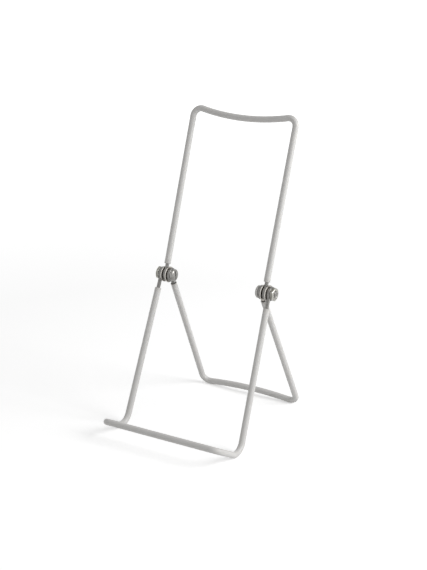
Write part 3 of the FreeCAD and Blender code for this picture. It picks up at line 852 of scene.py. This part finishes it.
def screw_mesh(name, hinge, side, face, total, turn):
    """Round-headed slotted screw, built ring by ring from the slot to the threaded end."""
    shell = Shell(on_axis(side, face, turn))
    half, lip, power = hinge.slot / 2, 0.09 * MM, 3.2
    radius, crown = hinge.head / 2, hinge.head_height - hinge.head_side
    floor = hinge.head_height - hinge.slot_depth
    across_slot, across_land = 4, 26
    heights = [half * (2 * step / across_slot - 1) for step in range(across_slot + 1)]
    heights = [-half - lip] + heights + [half + lip]

    def dome(tilt):
        return (radius * math.sin(tilt) ** (2 / power),
                hinge.head_side + crown * math.cos(tilt))

    first = math.asin(((half + lip) / radius) ** (power / 2))
    leaves = math.acos((floor - hinge.head_side) / crown)
    tilts = [first + (leaves - first) * step / 9 for step in range(10)]
    tilts += [leaves + (math.radians(90) - leaves) * step / 5 for step in range(1, 6)]
    rings = [dome(tilt) for tilt in tilts]
    exits = 9

    def columns(distance):
        """Angles of every column round a ring, slot columns first on each side."""
        right = [math.asin(max(-1.0, min(1.0, height / distance))) for height in heights]
        span = math.pi - 2 * right[-1]
        top = [right[-1] + span * step / across_land for step in range(1, across_land)]
        left = [math.pi - turn for turn in reversed(right)]
        return right + top + left + [turn + math.pi for turn in top]

    slot_count = len(heights)
    rows = []  # the surface rows of the head, each a list of point numbers
    walls = {1: [], -1: []}
    floors = {1: [], -1: []}
    for number, (distance, height) in enumerate(rings):
        turns = columns(distance)
        row = []
        for place, turn_at in enumerate(turns):
            in_right = place < slot_count
            in_left = slot_count + across_land - 1 <= place < 2 * slot_count + across_land - 1
            inner = (in_right and 0 < place < slot_count - 1) or (
                in_left and 0 < place - (slot_count + across_land - 1) < slot_count - 1)
            # Columns at the slot's lips get the edge mark, for painted highlights.
            rim = 1.0 if (in_right or in_left) and not inner and number <= exits else 0.0
            if inner and number < exits:
                row.append(None)
            else:
                row.append(shell.point(distance * math.cos(turn_at),
                                       distance * math.sin(turn_at), -height, rim,
                                       0.0))
        rows.append(row)
        for way in (1, -1):
            spots = [(way * math.sqrt(max(distance ** 2 - across ** 2, 0.0)), across)
                     for across in heights[1:-1]]
            if number < exits:
                # The slot's floor and walls get the low mark: dirt and painted shade.
                floors[way].append([shell.point(x, y, -floor, 0.0, 1.0) for x, y in spots])
                walls[way].append([shell.point(x, y, -max(height - lip, floor), 0.8, 0.3)
                                   for x, y in (spots[0], spots[-1])])
    right_first, left_first = 0, slot_count + across_land - 1
    for number in range(len(rings) - 1):
        row, following = rows[number], rows[number + 1]
        count = len(row)
        for place in range(count):
            corners = [row[place], row[(place + 1) % count], following[(place + 1) % count],
                       following[place]]
            if None not in corners:
                shell.faces.append(list(dict.fromkeys(corners)))
    for way, start in ((1, right_first), (-1, left_first)):
        inner_places = list(range(start + 1, start + slot_count - 1))
        exit_row = [rows[exits][place] for place in inner_places]
        if way < 0:
            exit_row.reverse()
        stretches = floors[way] + [exit_row]
        for near, far in zip(stretches, stretches[1:]):
            shell.strip(near, far)
        ends = [(stretch[0], stretch[-1]) for stretch in stretches]
        tops = walls[way] + [[exit_row[0], exit_row[-1]]]
        lips = []
        for number in range(exits + 1):
            low_place, high_place = start, start + slot_count - 1
            if way < 0:
                low_place, high_place = high_place, low_place
            lips.append((rows[number][low_place], rows[number][high_place]))
        for which in (0, 1):
            wall_low = [end[which] for end in ends]
            wall_top = [top[which] for top in tops]
            wall_lip = [edge[which] for edge in lips]
            shell.strip(wall_low, wall_top)
            shell.strip(wall_top, wall_lip)
    shell.strip(floors[1][0], floors[-1][0])
    for which, (lip_right, lip_left) in enumerate((
            (rows[0][0], rows[0][left_first + slot_count - 1]),
            (rows[0][slot_count - 1], rows[0][left_first]))):
        shell.strip([floors[1][0][-which], floors[-1][0][-which]],
                    [walls[1][0][which], walls[-1][0][which]])
        shell.strip([walls[1][0][which], walls[-1][0][which]], [lip_right, lip_left])
    count = len(rows[-1])
    fixed = columns(radius)

    def ring(distance_at, outward, share=0.0, edge=0.0, low=0.0):
        """A full ring, its columns shifted from the head's spacing towards an even one."""
        made = []
        for place in range(count):
            even = fixed[0] + math.tau * place / count
            turn_at = fixed[place] * (1 - share) + even * share
            distance, dark = distance_at(turn_at)
            made.append(shell.point(distance * math.cos(turn_at),
                                    distance * math.sin(turn_at), outward, edge,
                                    max(low, dark)))
        return made

    def level(distance):
        return lambda turn_at: (distance, 0.0)

    screw, edge = hinge.screw / 2, 0.15 * MM
    thread_start = total - hinge.threaded
    # The rim rows get the edge mark for painted highlights; the row under the head gets the low
    # mark for painted shade.
    stages = [ring(level(radius), -edge * 2, 0, 0.6), ring(level(radius - edge), 0, 0, 0.6),
              ring(level(radius - 3 * edge), 0, 0.1),
              ring(level(screw + edge), 0, 0.8, low=0.5), ring(level(screw), edge, 1),
              ring(level(screw), thread_start, 1)]
    rows_per_pitch, land = 12, 0.08
    steps = math.ceil(hinge.threaded / hinge.pitch * rows_per_pitch)
    for step in range(1, steps + 1):
        outward = thread_start + hinge.threaded * step / steps
        fade = min(1.0, (outward - thread_start) / hinge.pitch)
        limit = screw - hinge.chamfer + (total - outward)

        def threaded(turn_at, outward=outward, fade=fade, limit=limit):
            phase = (outward / hinge.pitch - turn_at / math.tau) % 1
            groove = 1 - abs(2 * phase - 1)
            groove = max(0.0, min(1.0, (groove - land) / (1 - 2 * land)))
            cut = hinge.thread * groove * fade
            # The thread's grooves get the low mark, for painted shade.
            return min(screw - cut, limit), groove * 0.8
        stages.append(ring(threaded, outward, 1))
    for row, following in zip([rows[-1]] + stages, stages):
        shell.strip(row, following, closed=True)
    middle = shell.point(0, 0, total)
    last = stages[-1]
    shell.faces += [(a, b, middle) for a, b in zip(last, last[1:] + last[:1])]
    return closed_mesh(name, shell.points, shell.faces, {"edge": shell.edge,
                                                         "low": shell.low})


# ---------------------------------------------------------------------------------- operators
class ALBUMSTAND_OT_wires(bpy.types.Operator):
    """Make the three bent wires and their vinyl sleeves"""
    bl_idname = "album_stand.wires"
    bl_label = "Wires and sleeves"

    def execute(self, context):
        stand = context.scene.album_stand
        sizes, radius = stand.wires, stand.wires.wire / 2
        skin_radius = radius + sizes.clearance + sizes.wall
        inner, outer = (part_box(name + "_washer_right") for name in ("inner", "outer"))
        back_eye = (inner[1].x + outer[0].x) / 2
        half_gap = back_eye - inner[1].x
        front_eye, leg_eye = outer[1].x + half_gap, inner[0].x - half_gap
        back, leg, front = stand.back, stand.leg, stand.front
        leg_reach = ((HINGE.z - skin_radius - leg.offset * math.sin(leg.lean))
                     / math.cos(leg.lean))
        plans = {
            "back": ("back_frame", back_eye, -1, back, -back.lean,
                     lambda bend: u_cover(bend, back.width / 2, back.reach, back.dip,
                                          back.corner)),
            "leg": ("rear_leg", leg_eye, 1, leg, math.pi + leg.lean,
                    lambda bend: u_cover(bend, leg.width / 2, leg_reach, leg.dip,
                                         leg.corner)),
            "front": ("front_frame", front_eye, 1, front, math.pi - front.lean,
                      lambda bend: front_cover(bend, front, skin_radius)),
        }
        skin = skin_tree()
        bent, sleeved = wire_tree(skin), sleeve_tree(skin)
        steel = finish_named("drawn_steel", steel_material, stand.finishes)
        vinyl = finish_named("vinyl_satin", vinyl_material, stand.finishes)
        for word, (body, eye, side, bend, turn, cover) in plans.items():
            wire_path, sleeve_path = wire_and_sleeve_paths(
                eye, side, bend.offset, bend.sleeve_start, cover, turn, sizes)
            rod = grow(word + "_wire_steel", bent, wire_path, Diameter=sizes.wire,
                       Tip=sizes.tip, Eye_plane=eye, Eye_reach=7 * MM, Hinge=HINGE,
                       Sides=sizes.sides, Material=steel)
            fit(rod, body, word + "_wire")
            tube = grow(word + "_sleeve_vinyl", sleeved, sleeve_path,
                        Bore=sizes.wire + 2 * sizes.clearance, Wall=sizes.wall,
                        Lip=sizes.lip, Bore_lip=sizes.bore_lip, Sides=sizes.sides,
                        Material=vinyl)
            fit(tube, body, word + "_sleeve")
        return {"FINISHED"}


class ALBUMSTAND_OT_washers(bpy.types.Operator):
    """Make the four washers between the wire eyes"""
    bl_idname = "album_stand.washers"
    bl_label = "Washers"

    def execute(self, context):
        stand = context.scene.album_stand
        zinc = finish_named("dull_zinc", washer_material, stand.finishes)
        tree = washer_tree()
        for node in [each for each in sorted(frame["nodes"]) if "_washer_" in each]:
            low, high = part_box(node)
            piece = grow(node + "_zinc", tree, [HINGE], Diameter=stand.hinge.washer,
                         Bore=stand.hinge.washer_bore, Thickness=high.x - low.x,
                         Edge=stand.hinge.washer_edge,
                         Middle=((low.x + high.x) / 2, HINGE.y, HINGE.z), Sides=96,
                         Material=zinc)
            fit(piece, "front_frame", node)
        return {"FINISHED"}


class ALBUMSTAND_OT_screws(bpy.types.Operator):
    """Make the two slotted hinge screws"""
    bl_idname = "album_stand.screws"
    bl_label = "Screws"

    def execute(self, context):
        stand = context.scene.album_stand
        hinge = stand.hinge
        plated = finish_named("plated_screw_bright", plated_material, "plated_screw_bright",
                              stand.finishes.screw, stand.finishes)
        for word, side, turn in (("right", 1, 35), ("left", -1, 100)):
            low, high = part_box("hinge_screw_" + word)
            near, far = sorted((abs(low.x), abs(high.x)))
            face = near + hinge.head_height
            mesh = screw_mesh(f"hinge_screw_{word}_plated", hinge, side, face, far - face,
                              math.radians(turn))
            mesh.materials.append(plated)
            fit(add_piece(mesh.name, mesh), "front_frame", "hinge_screw_" + word)
        return {"FINISHED"}


class ALBUMSTAND_OT_nuts(bpy.types.Operator):
    """Make the two hexagon nuts"""
    bl_idname = "album_stand.nuts"
    bl_label = "Nuts"

    def execute(self, context):
        stand = context.scene.album_stand
        plated = finish_named("plated_nut_bright", plated_material, "plated_nut_bright",
                              stand.finishes.nut, stand.finishes)
        for word, side in (("right", 1), ("left", -1)):
            low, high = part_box("hinge_nut_" + word)
            near, far = sorted((abs(low.x), abs(high.x)))
            mesh = nut_mesh(f"hinge_nut_{word}_plated", stand.hinge, side, near, far - near)
            mesh.materials.append(plated)
            fit(add_piece(mesh.name, mesh), "front_frame", "hinge_nut_" + word)
        return {"FINISHED"}


def seen_directly(tree):
    """1 where a ray comes from the camera, a reflection or a see-through surface."""
    path = tree.nodes.new("ShaderNodeLightPath").outputs
    return maths(tree, "MAXIMUM", path["Is Camera Ray"],
                 maths(tree, "MAXIMUM", path["Is Glossy Ray"], path["Is Transmission Ray"]))


class ALBUMSTAND_OT_stage(bpy.types.Operator):
    """Make the camera, the floor, the lamps and the pale surroundings"""
    bl_idname = "album_stand.stage"
    bl_label = "Stage"

    def execute(self, context):
        scene, stage = context.scene, context.scene.album_stand.stage
        scene.view_settings.view_transform = "Standard"
        self.make_camera(scene, stage)
        self.make_world(scene, stage)
        self.make_floor(stage)
        aim = Vector((0, 0, 0.12))
        for name, power, place, wide in (
                ("key_lamp", stage.key, (1.07, 0.21, 0.69), 0.8),
                ("fill_lamp", stage.fill, (-0.8, -0.6, 0.5), 0.6)):
            lamp = bpy.data.lights.new(name, "AREA")
            lamp.energy, lamp.size = power, wide
            lit = bpy.data.objects.new(name, lamp)
            lit.location = place
            lit.rotation_euler = (aim - lit.location).to_track_quat("-Z", "Y").to_euler()
            scene.collection.objects.link(lit)
        return {"FINISHED"}

    def make_camera(self, scene, stage):
        """A camera that looks at the stand from the front and a little above."""
        turn, rise = stage.azimuth, stage.elevation
        back = Vector((math.sin(turn) * math.cos(rise), -math.cos(turn) * math.cos(rise),
                       math.sin(rise)))
        right = Vector((math.cos(turn), math.sin(turn), 0))
        up = back.cross(right)
        aim = Vector((0, HINGE.y, stage.aim_height)) + right * stage.across \
            + up * stage.aim_up
        camera = bpy.data.cameras.new("stand_camera")
        camera.lens = stage.lens
        view = bpy.data.objects.new("stand_camera", camera)
        view.matrix_world = Matrix.Translation(aim + back * stage.distance) @ Matrix(
            (right, up, back)).transposed().to_4x4()
        scene.collection.objects.link(view)
        scene.camera = view

    def make_world(self, scene, stage):
        """White where it is seen, softer where it lights the stand."""
        world = scene.world = bpy.data.worlds.new("pale_surroundings")
        world.use_nodes = True
        tree = world.node_tree
        strength = maths(tree, "MULTIPLY_ADD", seen_directly(tree), 1 - stage.ambient,
                         stage.ambient)
        shade = tree.nodes["Background"]
        shade.inputs["Color"].default_value = (1, 1, 1, 1)
        tree.links.new(strength, shade.inputs["Strength"])

    def make_floor(self, stage):
        """A wide pale floor that fades to white and keeps the stand's shadow."""
        mesh = bpy.data.meshes.new("floor")
        reach = 6.0
        mesh.from_pydata([(-reach, -reach, 0), (reach, -reach, 0), (reach, reach, 0),
                          (-reach, reach, 0)], [], [(0, 1, 2, 3)])
        floor = add_piece("floor", mesh)
        material, tree, shader = new_material("pale_floor")
        tree.nodes.remove(shader)
        place = object_place(tree)
        away = add(tree, "ShaderNodeVectorMath", {0: place}, operation="LENGTH").outputs[1]
        glow = maths(tree, "MULTIPLY", seen_directly(tree),
                     remap(tree, away, 0.35, 1.6, stage.glow, 1.0))
        lit = add(tree, "ShaderNodeBsdfDiffuse", {"Color": (*stage.floor, 1)}).outputs[0]
        seen = add(tree, "ShaderNodeEmission", {"Strength": glow}).outputs[0]
        both = add(tree, "ShaderNodeAddShader", {0: lit, 1: seen}).outputs[0]
        tree.links.new(both, tree.nodes["Material Output"].inputs["Surface"])
        mesh.materials.append(material)


OPERATORS = (ALBUMSTAND_OT_wires, ALBUMSTAND_OT_washers, ALBUMSTAND_OT_screws,
             ALBUMSTAND_OT_nuts, ALBUMSTAND_OT_stage)


class ALBUMSTAND_PT_panel(bpy.types.Panel):
    """The stand's pieces and its stage"""
    bl_idname = "ALBUMSTAND_PT_panel"
    bl_label = "Album Stand"
    bl_space_type = "VIEW_3D"
    bl_region_type = "UI"
    bl_category = "Album Stand"

    def draw(self, context):
        for operator in OPERATORS:
            self.layout.operator(operator.bl_idname)
        stand = context.scene.album_stand
        for name in stand.bl_rna.properties.keys():
            group = getattr(stand, name)
            if isinstance(group, bpy.types.PropertyGroup):
                box = self.layout.box()
                box.label(text=name.capitalize())
                for each in type(group).__annotations__:
                    box.prop(group, each)


CLASSES = (WireSizes, BackSizes, LegSizes, FrontSizes, HingeSizes, Finishes, StageSettings,
           AlbumStandSettings, *OPERATORS, ALBUMSTAND_PT_panel)


def register():
    """Make the classes and the settings known."""
    for each in CLASSES:
        bpy.utils.register_class(each)
    bpy.types.Scene.album_stand = PointerProperty(type=AlbumStandSettings)


def unregister():
    """Take the settings and the classes away again."""
    del bpy.types.Scene.album_stand
    for each in reversed(CLASSES):
        bpy.utils.unregister_class(each)


def main():
    """Make every piece and the stage."""
    register()
    bpy.ops.album_stand.wires()
    bpy.ops.album_stand.washers()
    bpy.ops.album_stand.screws()
    bpy.ops.album_stand.nuts()
    bpy.ops.album_stand.stage()


if __name__ == "__main__":
    main()
